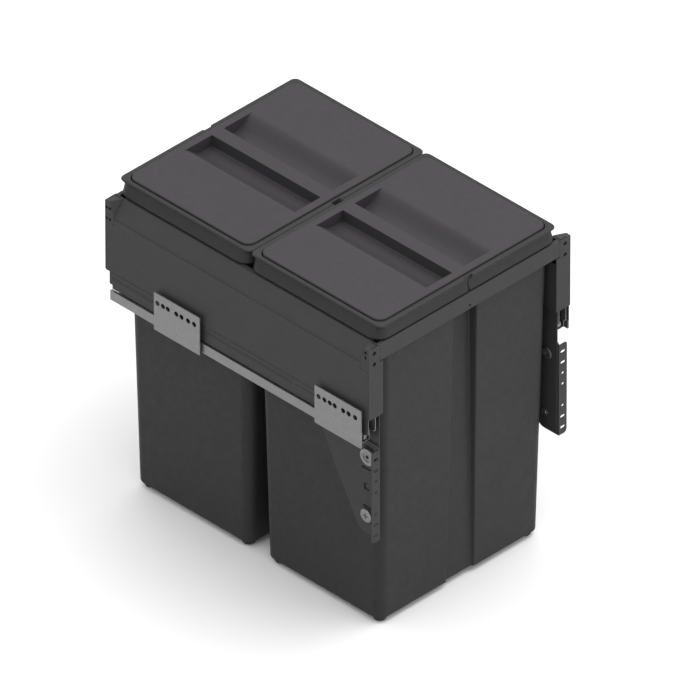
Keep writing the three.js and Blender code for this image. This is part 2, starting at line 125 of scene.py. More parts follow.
def powder_coat(level):
    recipe = Recipe("powder_coat")
    recipe.tint(recipe.noise(size_mm=38, detail=4), *shades(level, spread=0.05))
    recipe.roughen(recipe.noise(size_mm=3, detail=4), 0.46, 0.6)
    recipe.bump((recipe.noise(size_mm=1.4, detail=2), 0.16, 0.12),
                (recipe.noise(size_mm=0.35, detail=1), 0.1, 0.04))
    recipe.shader.inputs["Specular IOR Level"].default_value = 0.24
    return recipe.material


def moulded_plastic(name, level, grain_mm, roughness, gloss, mauve):
    recipe = Recipe(name)
    recipe.tint(recipe.noise(size_mm=60, detail=3), *shades(level, 0.03, mauve))
    recipe.roughen(recipe.noise(size_mm=9, detail=4), roughness - 0.05, roughness + 0.06)
    recipe.bump((recipe.cells(grain_mm), 0.22, 0.06),
                (recipe.noise(grain_mm * 2.4, detail=2), 0.12, 0.06))
    recipe.shader.inputs["Specular IOR Level"].default_value = gloss
    return recipe.material


def plated_steel(name, level, roughness):
    """Steel rolled along Y, so its grain is long that way."""
    recipe = Recipe(name)
    recipe.tint(recipe.noise(size_mm=4, detail=5), *shades(level, spread=0.05))
    rolled = recipe.noise(size_mm=1.2, detail=2, stretch=(1, 0.03, 1))
    recipe.roughen(rolled, roughness - 0.06, roughness + 0.08)
    recipe.bump((rolled, 0.08, 0.02), (recipe.noise(size_mm=0.8, detail=3), 0.05, 0.02))
    recipe.shader.inputs["Metallic"].default_value = 0.85
    return recipe.material


LOOKS = {
    "powder_coated_steel": powder_coat(level=0.047),
    "zinc_plated_steel": plated_steel("zinc_plate", level=0.22, roughness=0.42),
    "slide_cage": plated_steel("slide_cage", level=0.20, roughness=0.36),
    "damper_plastic": moulded_plastic("damper_plastic", level=0.02, grain_mm=1.2,
                                      roughness=0.45, gloss=0.4, mauve=0),
    "bin_plastic": moulded_plastic("bin_plastic", level=0.036, grain_mm=0.8,
                                   roughness=0.55, gloss=0.2, mauve=0.005),
    "lid_plastic": moulded_plastic("lid_plastic", level=0.040, grain_mm=0.8,
                                   roughness=0.52, gloss=0.26, mauve=0.07),
}


# ---- outlines -------------------------------------------------------------------------------
NEARLY_STRAIGHT = math.radians(88)  # of half a corner's angle


def rounded(corners):
    """An outline whose corners (u, v, radius, steps) are replaced by arcs of even steps.

    A nearly straight corner gets as many points along its line, so that outlines still match.
    """
    points = []
    for i, (u, v, radius, steps) in enumerate(corners):
        here = Vector((u, v))
        to_last = (Vector(corners[i - 1][:2]) - here).normalized()
        to_next = (Vector(corners[(i + 1) % len(corners)][:2]) - here).normalized()
        half = to_last.angle(to_next) / 2
        if half > NEARLY_STRAIGHT:
            spread = [2 * k / steps - 1 for k in range(steps + 1)]
            points += [here + to_next * radius * 0.5 * s for s in spread]
            continue
        middle = here + (to_last + to_next).normalized() * radius / math.sin(half)
        start = here + to_last * radius / math.tan(half) - middle
        end = here + to_next * radius / math.tan(half) - middle
        sweep = start.angle_signed(end)
        base = math.atan2(start.y, start.x)
        for k in range(steps + 1):
            angle = base - sweep * k / steps
            points.append(middle + radius * Vector((math.cos(angle), math.sin(angle))))
    return [tuple(p) for p in points]


def rounded_box(u, v, radius, steps):
    return rounded([(u[0], v[0], radius, steps), (u[1], v[0], radius, steps),
                    (u[1], v[1], radius, steps), (u[0], v[1], radius, steps)])


def circle(u, v, radius, sides=36):
    turn = 2 * math.pi / sides
    return [(u + radius * math.cos(k * turn), v + radius * math.sin(k * turn))
            for k in range(sides)]


def near(corner, offsets_mm):
    """Points at the given offsets from a corner."""
    return [(corner[0] + u * MM, corner[1] + v * MM) for u, v in offsets_mm]


def bent(start, bend, end, steps):
    """Points of a curve that leaves its start towards the bend; the start itself is left out."""
    curve = []
    for k in range(1, steps + 1):
        t = k / steps
        curve.append(tuple((1 - t) ** 2 * a + 2 * t * (1 - t) * b + t * t * c
                           for a, b, c in zip(start, bend, end)))
    return curve


def smooth_curve(points, steps):
    """Points along a Catmull-Rom curve through the given ones."""
    padded = [points[0]] + points + [points[-1]]
    curve = []
    for a, b, c, d in zip(padded, padded[1:], padded[2:], padded[3:]):
        for k in range(steps):
            t = k / steps
            curve.append(tuple(0.5 * (2 * q + (r - p) * t + (2 * p - 5 * q + 4 * r - s) * t * t
                                      + (3 * q - p - 3 * r + s) * t ** 3)
                               for p, q, r, s in zip(a, b, c, d)))
    return curve + [points[-1]]


# ---- meshes ---------------------------------------------------------------------------------
def make_object(name, verts, faces):
    """A mesh object with its doubled points merged and its faces turned outwards."""
    mesh = bpy.data.meshes.new(name)
    mesh.from_pydata([tuple(v) for v in verts], [], faces)
    work = bmesh.new()
    work.from_mesh(mesh)
    bmesh.ops.remove_doubles(work, verts=work.verts, dist=1e-7)
    bmesh.ops.recalc_face_normals(work, faces=work.faces)
    if work.calc_volume(signed=True) < 0:
        bmesh.ops.reverse_faces(work, faces=work.faces)
    work.to_mesh(mesh)
    work.free()
    return link_object(name, mesh)


def link_object(name, mesh):
    obj = bpy.data.objects.new(name, mesh)
    bpy.context.scene.collection.objects.link(obj)
    return obj


AXES = {
    "X": lambda u, v, t: (t, u, v),
    "Y": lambda u, v, t: (u, t, v),
    "Z": lambda u, v, t: (u, v, t),
}


def prism(outline, axis, low, high):
    """Pushes an outline along an axis; u and v are the other two axes, in X, Y, Z order."""
    spot = AXES[axis]
    count = len(outline)
    verts = [spot(u, v, t) for t in (low, high) for u, v in outline]
    sides = [(i, (i + 1) % count, (i + 1) % count + count, i + count) for i in range(count)]
    caps = [tuple(range(count)), tuple(range(2 * count - 1, count - 1, -1))]
    return make_object("prism", verts, sides + caps)


def slab(x, y, z):
    """A box between the low and the high value of each axis."""
    return prism([(x[0], y[0]), (x[1], y[0]), (x[1], y[1]), (x[0], y[1])], "Z", *z)


def loft(rings, closed=False):
    """Skins rings of equal length; a closed stack joins its last ring to its first."""
    count = len(rings[0])
    verts = [v for ring in rings for v in ring]
    bands = len(rings) if closed else len(rings) - 1
    faces = []
    for band in range(bands):
        low, high = band * count, (band + 1) % len(rings) * count
        faces += [(low + i, low + (i + 1) % count, high + (i + 1) % count, high + i)
                  for i in range(count)]
    if not closed:
        last = (len(rings) - 1) * count
        faces += [tuple(range(count)), tuple(range(last, last + count))]
    return make_object("loft", verts, faces)


def lathe_x(profile, y, z):
    """Turns a profile of (x, radius) about the line through (y, z) along X, with flat ends."""
    return loft([[(x, u, v) for u, v in circle(y, z, radius, 48)] for x, radius in profile])


def bake_modifiers(obj):
    """Applies an object's modifiers to its mesh."""
    graph = bpy.context.evaluated_depsgraph_get()
    mesh = bpy.data.meshes.new_from_object(obj.evaluated_get(graph))
    old = obj.data
    obj.modifiers.clear()
    obj.data = mesh
    bpy.data.meshes.remove(old)
    return obj


def combine(base, others, operation):
    """Cuts or joins a mesh with others, which are used up."""
    for other in others:
        step = base.modifiers.new("combine", "BOOLEAN")
        step.operation = operation
        step.solver = "EXACT"
        step.object = other
        bake_modifiers(base)
        bpy.data.objects.remove(other)
    return base


def carve(base, *cutters):
    return combine(base, cutters, "DIFFERENCE")


def fuse(base, *others):
    return combine(base, others, "UNION")


def gather(*objects):
    """Joins separate closed meshes into one object without cutting them."""
    verts, faces = [], []
    for obj in objects:
        start = len(verts)
        verts += [tuple(v.co) for v in obj.data.vertices]
        faces += [tuple(start + i for i in p.vertices) for p in obj.data.polygons]
        bpy.data.objects.remove(obj)
    return make_object("gathered", verts, faces)


def soften(obj, width_mm, segments=2, edge_angle=28):
    """Merges flat facets and rounds the edges that are left."""
    work = bmesh.new()
    work.from_mesh(obj.data)
    bmesh.ops.remove_doubles(work, verts=work.verts, dist=1e-6)
    bmesh.ops.dissolve_limit(work, angle_limit=math.radians(1), verts=work.verts,
                             edges=work.edges)
    work.to_mesh(obj.data)
    work.free()
    if width_mm > 0:
        bevel = obj.modifiers.new("edge", "BEVEL")
        bevel.width = width_mm * MM
        bevel.segments = segments
        bevel.limit_method = "ANGLE"
        bevel.angle_limit = math.radians(edge_angle)
        bake_modifiers(obj)
    return obj


def shade(obj, crease):
    """Smooth shading, apart from edges that bend by more than the crease angle."""
    obj.data.shade_smooth()
    obj.data.set_sharp_from_angle(angle=math.radians(crease))
    weigh = obj.modifiers.new("weighted", "WEIGHTED_NORMAL")
    weigh.keep_sharp = True
    return bake_modifiers(obj)


def other_hand(obj):
    """A copy mirrored about the plane X = 0."""
    mesh = obj.data.copy()
    for vertex in mesh.vertices:
        vertex.co.x = -vertex.co.x
    mesh.flip_normals()
    return link_object(obj.name, mesh)


def shifted(obj, y):
    """A copy moved along Y."""
    mesh = obj.data.copy()
    for vertex in mesh.vertices:
        vertex.co.y += y
    return link_object(obj.name, mesh)


def cad_copy(node):
    """A new mesh with the same shape as a CAD node."""
    source = frame["nodes"][node]
    mesh = bpy.data.meshes.new(node)
    mesh.from_pydata([tuple(v.co) for v in source.data.vertices], [],
                     [tuple(p.vertices) for p in source.data.polygons])
    return link_object(node, mesh)


# ---- places in the frame --------------------------------------------------------------------
BODY_OF = {node: body for body, nodes in frame["record"]["behaviour"]["bodies"].items()
           for node in nodes}
SLOT_OF = {row["node"]: row["material_slot"] for row in frame["record"]["subparts"]}


def settle(obj, node, crease=38):
    """Shades a piece and lets it stand for its CAD node."""
    shade(obj, crease)
    obj.name = f"{node}_skin"
    obj.data.materials.clear()
    obj.data.materials.append(LOOKS[SLOT_OF[node]])
    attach(obj, BODY_OF[node])
    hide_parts(node)


def settle_pair(name, right, crease=38):
    settle(other_hand(right), f"left_{name}", crease)
    settle(right, f"right_{name}", crease)


def span(node, axis):
    """A CAD node's lowest and highest value on an axis."""
    low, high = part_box(node)
    return low["xyz".index(axis)], high["xyz".index(axis)]


def side_centre(node):
    """The middle (y, z) of a CAD node as seen from the side."""
    low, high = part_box(node)
    return (low.y + high.y) / 2, (low.z + high.z) / 2


def facing(node):
    """The Y of the outer face of a piece of the frame, and the direction from it into the unit."""
    y0, y1 = span(node, "y")
    return (y0, 1) if y0 < 0 else (y1, -1)


def behind(node, start_mm, end_mm):
    """The stretch of Y from one distance behind a piece's outer face to another."""
    face, inward = facing(node)
    return sorted((face + inward * start_mm * MM, face + inward * end_mm * MM))


# ---- frame: panels, corners, rails ----------------------------------------------------------
PANEL_SHEET = 1.2 * MM
SHEET = 1.5 * MM  # of the corners, rails and door brackets
SLEEVE_HEIGHT = 32.6 * MM
SLEEVE_DEPTH = 15 * MM
PANEL_SETBACK = 1.8 * MM  # from a corner's face to the end of the panel
BOLT_X = 162.8 * MM


def side_panel():
    """Folded sheet: a bead at its foot, an upright face, and a lean from the shoulder to the top."""
    x0, x1 = span("right_side_panel", "x")
    y0, y1 = span("right_side_panel", "y")
    z0, z1 = span("right_side_panel", "z")
    wall = PANEL_SHEET
    shoulder = (x1, z1 - 22.4 * MM)
    crest = (x1 - 16.7 * MM, z1)
    bead = [(x1 - wall, z0 + 0.5 * MM)]
    bead += near((x1, z0), [(-0.9, 0), (0, 0.1), (0.4, 0.8), (0.3, 2.2), (0, 3)])
    crease = near(shoulder, [(0, -0.6), (-0.8, -0.15), (-0.2, 0.3), (-0.9, 2.4)])
    bend, lean_end = near((x1, z1), [(-5.6, -13)]) + near(crest, [(0.6, -0.4)])
    lean = bent(crease[-1], bend, lean_end, 8)
    inner = [crest, *near((x0, z1), [(0.4, 0), (0, -0.5)]), (x0, z0), (x0 + wall, z0),
             (x0 + wall, z1 - wall), (crest[0] - 0.4 * MM, z1 - wall),
             (x1 - wall, shoulder[1] - MM)]
    body = prism(bead + crease + lean + inner, "Y", y0, y1)
    sleeve_low = span("right_front_corner", "z")[1] - SLEEVE_HEIGHT
    covered = SLEEVE_DEPTH - PANEL_SETBACK + GAP
    cutters = [slab((x0 - MM, x1 + 2 * MM), ends, (sleeve_low - 0.2 * MM, z1 + 5 * MM))
               for ends in ((y0 - 5 * MM, y0 + covered), (y1 - covered, y1 + 5 * MM))]
    return soften(carve(body, *cutters), 0)


def corner_piece(node):
    """A sleeve at the panel's end, bevelled and grooved on top, and the post face below it."""
    x0, x1 = span(node, "x")
    y0, y1 = span(node, "y")
    z0, z1 = span(node, "z")
    face, inward = facing(node)
    rail_end = span("front_rail", "x")[1] + GAP
    rail_low = span("front_rail", "z")[0] - GAP
    sleeve = prism(rounded_box((y0, y1), (z1 - SLEEVE_HEIGHT, z1), 0.8 * MM, 3), "X", rail_end, x1)
    post = prism(rounded([(x0, z0, 1.5 * MM, 3), (x1, z0, 1.5 * MM, 3),
                          (x1, rail_low, 0.3 * MM, 2), (x0, rail_low, 0.3 * MM, 2)]),
                 "Y", *sorted((face, face + inward * SHEET)))

    high, proud = z1 + 0.3 * MM, x1 + 0.5 * MM
    inner_end = [(x1 - 17 * MM, high), (proud, high), (proud, z1 - 22.8 * MM)]
    outer_end = [(x1 - 0.3 * MM, high), (proud, high), (proud, z1 - 0.5 * MM)]
    bevel = loft([[(x, face + inward * back * MM, z) for x, z in corners]
                  for back, corners in ((15.5, inner_end), (7.5, outer_end))])

    groove_x = rail_end + 1.9 * MM
    groove_z = (z1 - 3 * MM, z1 + MM)
    grooves = [slab((groove_x, x1 - 4.5 * MM), behind(node, 0.9, 2.2), groove_z),
               slab((groove_x, groove_x + 1.2 * MM), behind(node, 1, 12), groove_z)]
    bolt_holes = [prism(circle(BOLT_X, z1 - drop * MM, 2.75 * MM), "Y", *behind(node, -1, 7))
                  for drop in (7.9, 23.8)]
    # Each hole on the outside is (distance behind the face, drop below the top) in mm.
    if face < 0:
        rivets = [(6.1, 5.3), (6.1, 12.6)]
    else:
        rivets = [(2.7, 10.3), (8.6, 10.3), (2.7, 26.2), (8.6, 26.2)]
    rivet_holes = [prism(circle(face + inward * back * MM, z1 - drop * MM, 2.1 * MM), "X",
                         x1 - 7 * MM, x1 + MM) for back, drop in rivets]
    body = fuse(carve(sleeve, bevel), post)
    return soften(carve(body, *grooves, *bolt_holes, *rivet_holes), 0.3)


def cross_rail(node):
    """A channel that is open towards the bins, with a hole in the middle of its face."""
    x0, x1 = span(node, "x")
    y0, y1 = span(node, "y")
    z0, z1 = span(node, "z")
    face, inward = facing(node)
    back = y1 if face == y0 else y0
    web = face + inward * SHEET
    section = [(face, z0, 2.2 * MM, 5), (back, z0, 0.4 * MM, 2), (back, z0 + SHEET, 0.4 * MM, 2),
               (web, z0 + SHEET, 0.7 * MM, 3), (web, z1 - SHEET, 0.7 * MM, 3),
               (back, z1 - SHEET, 0.4 * MM, 2), (back, z1, 0.4 * MM, 2), (face, z1, 2.2 * MM, 5)]
    rail = prism(rounded(section), "X", x0, x1)
    bore = prism(circle(0, z0 + 6.7 * MM, 1.75 * MM), "Y", *behind(node, -1, 3))
    return soften(carve(rail, bore), 0)


def side_skirt():
    """The CAD's skirt with two shallow grooves along it."""
    outside = span("right_side_skirt", "x")[1]
    grooves = [slab((outside - 0.35 * MM, outside + MM), (-95 * MM, 214.5 * MM),
                    (z * MM, (z + 0.6) * MM)) for z in (320.2, 323)]
    return carve(soften(cad_copy("right_side_skirt"), 0.3), *grooves)


settle_pair("side_panel", side_panel(), 24)
for end in ("front", "rear"):
    settle_pair(f"{end}_corner", corner_piece(f"right_{end}_corner"))
    settle(cross_rail(f"{end}_rail"), f"{end}_rail")
settle_pair("side_skirt", side_skirt())

# The slides keep the CAD's shapes, with rounded edges.
for name, edge_mm in (("cabinet_rail", 0.35), ("mid_rail", 0.3), ("drawer_rail", 0.35),
                      ("soft_close_housing", 0.5), ("soft_close_catch", 0.3),
                      ("lower_ball_cage", 0.15), ("upper_ball_cage", 0.15)):
    for side in ("left", "right"):
        settle(soften(cad_copy(f"{side}_{name}"), edge_mm), f"{side}_{name}")


# ---- brackets, arms and fasteners -----------------------------------------------------------
def cabinet_bracket(node, holes_mm):
    """A plate with a row of holes, and the seat that joins it to the cabinet rail."""
    foot, outside = span(node, "x")
    y0, y1 = span(node, "y")
    z0, z1 = span(node, "z")
    inner = outside - 2 * MM
    plate = prism(rounded_box((y0, y1), (z0, z1), 1.2 * MM, 4), "X", inner, outside)
    bores = [prism(circle(y1 - hole * MM, z1 - 13.9 * MM, 3.5 * MM), "X", inner - MM, outside + MM)
             for hole in holes_mm]
    rail_low, rail_high = span("right_cabinet_rail", "z")
    plate = carve(plate, *bores)
    seat = slab((foot, inner), (y0 + 6 * MM, y1 - 6 * MM), (rail_low, rail_high - MM))
    return gather(soften(plate, 0.3), soften(seat, 0.2))


CAM = side_centre("right_height_cam")
CLAMP = side_centre("right_clamp_screw")
BORES = ((CAM, 7.2), (CLAMP, 3.6))  # through the arm and the door bracket, radius in mm


def side_outline(corners_mm):
    """An outline in the YZ plane from corners (y, z, radius, steps) in millimetres."""
    return rounded([(y * MM, z * MM, radius * MM, steps) for y, z, radius, steps in corners_mm])


def support_arm():
    x0, x1 = span("right_support_arm", "x")
    plate = prism(side_outline([
        (-223.5, 345, 1, 2), (-223.5, 148, 6, 6), (-199, 148, 9, 6), (-159, 214, 20, 2),
        (-128, 276, 12, 4), (-128, 345, 1, 2)]), "X", x0, x1)
    bores = [prism(circle(*spot, radius * MM), "X", x0 - MM, x1 + MM) for spot, radius in BORES]
    return soften(carve(plate, *bores), 0.25)


def arc_slot(y, z, inner, outer, start, end):
    """The outline of a curved slot about a centre, from one angle to another in degrees."""
    steps = 10
    sweep = [math.radians(start + (end - start) * k / steps) for k in range(steps + 1)]
    return ([(y + outer * math.cos(a), z + outer * math.sin(a)) for a in sweep]
            + [(y + inner * math.cos(a), z + inner * math.sin(a)) for a in reversed(sweep)])


# The height of each hole in the flange, and half its length across it, in mm.
FLANGE_HOLES = {267: 4.2, 251: 4.2, 235: 2.3, 219: 2.3, 187: 2.3, 171: 4.2, 155: 4.2}


def door_bracket():
    """An upright leaf with adjusting slots, and the flange that the door is screwed to."""
    x0, x1 = span("right_door_bracket", "x")
    y0 = span("right_door_bracket", "y")[0]
    z0, z1 = span("right_door_bracket", "z")
    through = (x0 - MM, x0 + SHEET + MM)
    front = y0 / MM + 0.6
    leaf = prism(side_outline([
        (front, 145, 0.6, 2), (-193.7, 145, 12, 8), (-179.3, 169.2, 2, 1),
        (-152.6, 216.2, 2, 1), (-119.4, 283, 3, 4), (-221, 283, 1.5, 3),
        (front, 278.5, 0.6, 2)]), "X", x0, x0 + SHEET)
    top = z1 - 4.5 * MM
    flange = prism(rounded([(x0, z0, 0.3 * MM, 2), (x1, z0, 5 * MM, 8), (x1, top, 3 * MM, 6),
                            (x0, top, 0.3 * MM, 2)]), "Y", y0, y0 + SHEET)
    middle, radius = 160.1 * MM, 2 * MM
    holes = [prism(rounded_box((middle - half * MM, middle + half * MM),
                               (z * MM - radius, z * MM + radius), radius * 0.98, 8),
                   "Y", y0 - MM, y0 + 3 * MM) for z, half in FLANGE_HOLES.items()]
    bores = [prism(rounded_box((y - r * MM, y + r * MM), (z - (r + 2.2) * MM, z + (r + 2.2) * MM),
                               (r - 0.1) * MM, 8), "X", *through) for (y, z), r in BORES]
    slots = [
        arc_slot(*CAM, 13.4 * MM, 15 * MM, 62, 122),
        side_outline([(-211.6, 239.6, 1.1, 4), (-195.9, 239.6, 1.1, 4),
                      (-195.9, 242, 1.1, 4), (-211.6, 242, 1.1, 4)]),
        side_outline([(-203, 212, 0.8, 3), (-203, 218, 0.8, 3), (-199.8, 218, 0.8, 3),
                      (-199.8, 209, 1, 3), (-209, 209, 1, 3), (-209, 212, 1, 3)]),
        circle(-205.6 * MM, 219.8 * MM, 0.8 * MM, 16),
        side_outline([(-213.4, 182.3, 2, 5), (-198.6, 182.3, 2, 5),
                      (-198.6, 186.7, 2, 5), (-213.4, 186.7, 2, 5)]),
    ]
    cutters = [prism(outline, "X", *through) for outline in slots]
    return soften(carve(fuse(leaf, flange), *holes, *bores, *cutters), 0.2)


def height_cam():
    """A disc on a boss, with a round recess, a hexagon socket and a mark beside it."""
    x0, x1 = span("right_height_cam", "x")
    disc, rim = x1 - 3 * MM, 11.8 * MM
    profile = near((x0, 0), [(0, 6.4), (0.5, 6.9)]) + near((disc, 0), [(0, 6.9)])
    profile += near((disc, rim), [(0, -0.3), (0.3, 0)])
    profile += near((x1, rim), [(-0.6, 0), (-0.15, -0.25), (0, -0.7)])
    profile += near((x1, 0), [(0, 7.2), (-0.3, 6.7), (-1.3, 6.3), (-1.3, 4.6), (-0.9, 4.2)])
    socket = prism(circle(*CAM, 3 * MM, 6), "X", x1 - 3.6 * MM, x1 + MM)
    y, z = CAM
    mark = slab((x1 - 0.5 * MM, x1 + MM), (y + 7.6 * MM, y + 10 * MM),
                (z - 0.4 * MM, z + 0.4 * MM))
    return soften(carve(lathe_x(profile, *CAM), socket, mark), 0.12, 1, 40)


def clamp_screw():
    """A pan head with a cross recess."""
    x0, x1 = span("right_clamp_screw", "x")
    head, rim = x1 - 2.2 * MM, 9.3 * MM
    shank = near((x0, 0), [(0, 2.4), (0.6, 3)]) + near((head, 0), [(0, 3)])
    edge = near((head, rim), [(0, -0.3), (0.3, 0)])
    dome = [(x1 - drop * MM, rim * part)
            for drop, part in ((1.1, 1), (0.6, 0.97), (0.25, 0.88), (0.08, 0.7), (0, 0.45))]
    y, z = CLAMP
    cross = [slab((x1 - 1.4 * MM, x1 + MM), (y - dy * MM, y + dy * MM), (z - dz * MM, z + dz * MM))
             for dy, dz in ((4.2, 0.65), (0.65, 4.2))]
    return soften(carve(lathe_x(shank + edge + dome, y, z), *cross), 0.12, 1, 40)


def cam_washer():
    x0, x1 = span("right_cam_washer", "x")
    ring = lathe_x([(x0, 7.1 * MM), (x0 + 0.3 * MM, 7.5 * MM), (x1, 7.5 * MM)], *CAM)
    bore = prism(circle(*CAM, 3.2 * MM), "X", x0 - MM, x1 + MM)
    return soften(carve(ring, bore), 0.15)


def clamp_nut():
    x0, x1 = span("right_clamp_nut", "x")
    nut = prism(circle(*CLAMP, 5.7 * MM, 6), "X", x0, x1)
    bore = prism(circle(*CLAMP, 3.3 * MM), "X", x0 - MM, x1 + MM)
    return soften(carve(nut, bore), 0.3)


for end, holes in (("front", (7, 17, 26, 34.4, 48.6, 58, 69)),
                   ("rear", (6.2, 15.6, 24, 38.5, 47.4, 58.6, 69))):
    settle_pair(f"{end}_cabinet_bracket", cabinet_bracket(f"right_{end}_cabinet_bracket", holes))
settle_pair("support_arm", support_arm())
settle_pair("door_bracket", door_bracket())
settle_pair("height_cam", height_cam(), 30)
settle_pair("clamp_screw", clamp_screw(), 30)
settle_pair("cam_washer", cam_washer(), 30)
settle_pair("clamp_nut", clamp_nut(), 30)


# ---- bins -----------------------------------------------------------------------------------
BIN_LOW, BIN_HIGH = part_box("front_bin")
BIN_MIDDLE = (BIN_LOW.y + BIN_HIGH.y) / 2
WALL_LOW = 7.9 * MM
WALL_TOP = BIN_HIGH.z - 1.8 * MM
WALL_RISE = WALL_TOP - WALL_LOW
BASE_X, BASE_Y = 137.5 * MM, 97.5 * MM  # half the width and the depth where the wall starts
DRAFT = 0.0208  # how much further out the wall stands for each metre up
RECESS_Y = 94.2 * MM  # from the bin's middle to the upright floor of the recess
BIN_WALL = 2 * MM
# Each ring of a round foot is (height, radius) in mm.
FOOT_PROFILE = ((0, 5.8), (0.2, 6.9), (0.7, 7.7), (1.5, 8.2), (2.6, 8.5), (7.9, 10.1), (8.8, 10.2))


def bin_outline(z, inset, recessed=True, inset_y=None):
    """A bin wall's outline about the bin's own middle, with the upright recess front and rear."""
    inset_y = inset if inset_y is None else inset_y
    grow = (z - WALL_LOW) * DRAFT
    rise = (z - WALL_LOW) / WALL_RISE
    hx = BASE_X + grow - inset
    hy = BASE_Y + grow - inset_y
    mouth = (19 + 5 * (1 - rise)) * MM + inset
    floor_y = RECESS_Y - inset_y if recessed else hy
    lip, root = 2.2 * MM, 2.6 * MM
    corner = (13 + 4 * min(1, rise)) * MM - inset
    front = [(-mouth, -hy, lip, 4), (-mouth + 2.4 * MM, -floor_y, root, 4),
             (mouth - 2.4 * MM, -floor_y, root, 4), (mouth, -hy, lip, 4)]
    rear = [(-u, -v, r, n) for u, v, r, n in front]
    outline = rounded(front + [(hx, -hy, corner, 12), (hx, hy, corner, 12)] + rear
                      + [(-hx, hy, corner, 12), (-hx, -hy, corner, 12)])
    return [(x, y, z) for x, y in outline]


def bin_shell():
    """A tapered wall up to a flat rim, down again inside to the floor, on four round feet."""
    rim_low, rim_high = BIN_HIGH.z - 1.5 * MM, BIN_HIGH.z
    grow = WALL_RISE * DRAFT
    rim_x = BIN_HIGH.x - BASE_X - grow
    rim_y = (BIN_HIGH.y - BIN_LOW.y) / 2 - BASE_Y - grow
    edge = [(0, 1.5), (0.25, 0.8), (0.7, 0.3), (1.2, 0.08), (1.8, 0)]
    rings = [bin_outline(WALL_LOW + rise * MM, inset * MM) for rise, inset in edge]
    rings += [bin_outline(WALL_LOW + part * WALL_RISE, 0) for part in (0.3, 0.6, 0.9)]
    rings += [bin_outline(WALL_TOP - 4 * MM, 0), bin_outline(rim_low, 0, False),
              bin_outline(rim_low, -rim_x, False, -rim_y),
              bin_outline(rim_high - 0.3 * MM, -rim_x, False, -rim_y),
              bin_outline(rim_high, -rim_x + 0.3 * MM, False, -rim_y + 0.3 * MM),
              bin_outline(rim_high, BIN_WALL, False), bin_outline(WALL_TOP - 0.8 * MM, BIN_WALL)]
    rings += [bin_outline(WALL_LOW + rise * MM, BIN_WALL + inset * MM)
              for rise, inset in ((8, 0), (4, 0.8), (2.5, 2.4))]
    shell = loft(rings)
    feet = [loft([[(u, v, z * MM) for u, v in circle(x * 124.3 * MM, y * 84.3 * MM, r * MM, 32)]
                  for z, r in FOOT_PROFILE]) for x in (-1, 1) for y in (-1, 1)]
    return gather(shell, *feet)


# ---- collars and lids -----------------------------------------------------------------------
def half_size(node):
    """Half a node's width and depth; its middle is at X = 0."""
    low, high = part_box(node)
    return high.x, (high.y - low.y) / 2


def plan(half_x, half_y, radius, z):
    """A rounded rectangle about the middle, at one height."""
    return [(x, y, z) for x, y in rounded_box((-half_x, half_x), (-half_y, half_y), radius, 12)]


def collar():
    """Waisted wall with a rolled lip on top and a ledge inside for the lid."""
    base_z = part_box("front_collar")[0].z
    half_x, half_y = half_size("front_collar")
    base_y = half_y - 0.25 * MM

    # Each ring is (inset on X, inset on Y, corner radius, height) in millimetres.
    outer = smooth_curve([(0.9, 0.9, 17.2, 0.15), (0.15, 0.15, 17.8, 0.8), (0, 0, 18, 2),
                          (1.2, 0.9, 16.6, 6), (3.2, 2.1, 13.6, 11.2), (4.5, 2.3, 11, 14.9),
                          (4.2, 1.4, 9.6, 17.2), (3.1, 0, 8.6, 18.8), (3, -0.2, 8.4, 19.7),
                          (3.5, 0.3, 8.2, 20.6), (4.7, 1.5, 7.6, 21.25), (6.6, 3.8, 9.6, 21.2),
                          (8.6, 6.6, 12.8, 20.9), (9.1, 7.2, 13.5, 20.2)], 3)
    inner = [(9.1, 7.2, 13.5, 12.9), (11.7, 9.8, 12, 12.9), (11.7, 9.8, 12, 10.9),
             (7.2, 6, 13, 9.2), (5.6, 5.2, 14, 4.7), (5.6, 5.2, 14, 0)]
    ring = loft([plan(half_x - inset_x * MM, base_y - inset_y * MM, radius * MM,
                      base_z + rise * MM) for inset_x, inset_y, radius, rise in outer + inner],
                closed=True)

    # A notch in the middle of the front and of the rear, narrow low down and wide at the lip.
    flank = smooth_curve([(4.6, -1), (3.2, 0.6), (1.5, 3.0), (0.6, 6.5), (0.8, 10.5),
                          (2.6, 14.6), (5.6, 18.0), (7.8, 21.5), (8.2, 24)], 4)
    notch = [(u * MM, base_z + v * MM) for u, v in flank]
    notch += [(-u, v) for u, v in reversed(notch)]
    cutters = [prism(notch, "Y", *sorted((side * (base_y - 3.1 * MM), side * (half_y + 3 * MM))))
               for side in (-1, 1)]
    return carve(ring, *cutters)


def scoop_outline(grow, top, lid_top):
    """The scoop's section in (x, z): steep wall at the grip bar, flat floor, slope back to the top."""
    floor = lid_top - 16 * MM - grow
    wall = [(10 * MM - grow, top), (10.3 * MM - grow, floor + 3 * MM),
            (11.2 * MM - grow, floor + 0.9 * MM), (13 * MM - grow, floor)]
    slope = near((0, floor), [(26, 0), (32, 0.9), (38, 3.2), (44, 7.4), (49.5, 12), (54, 14.9),
                              (57.5, 15.9)])
    slope.append((60 * MM + grow, lid_top + 0.1 * MM - grow))
    return wall + smooth_curve(slope, 4) + [(60 * MM + grow, top)]


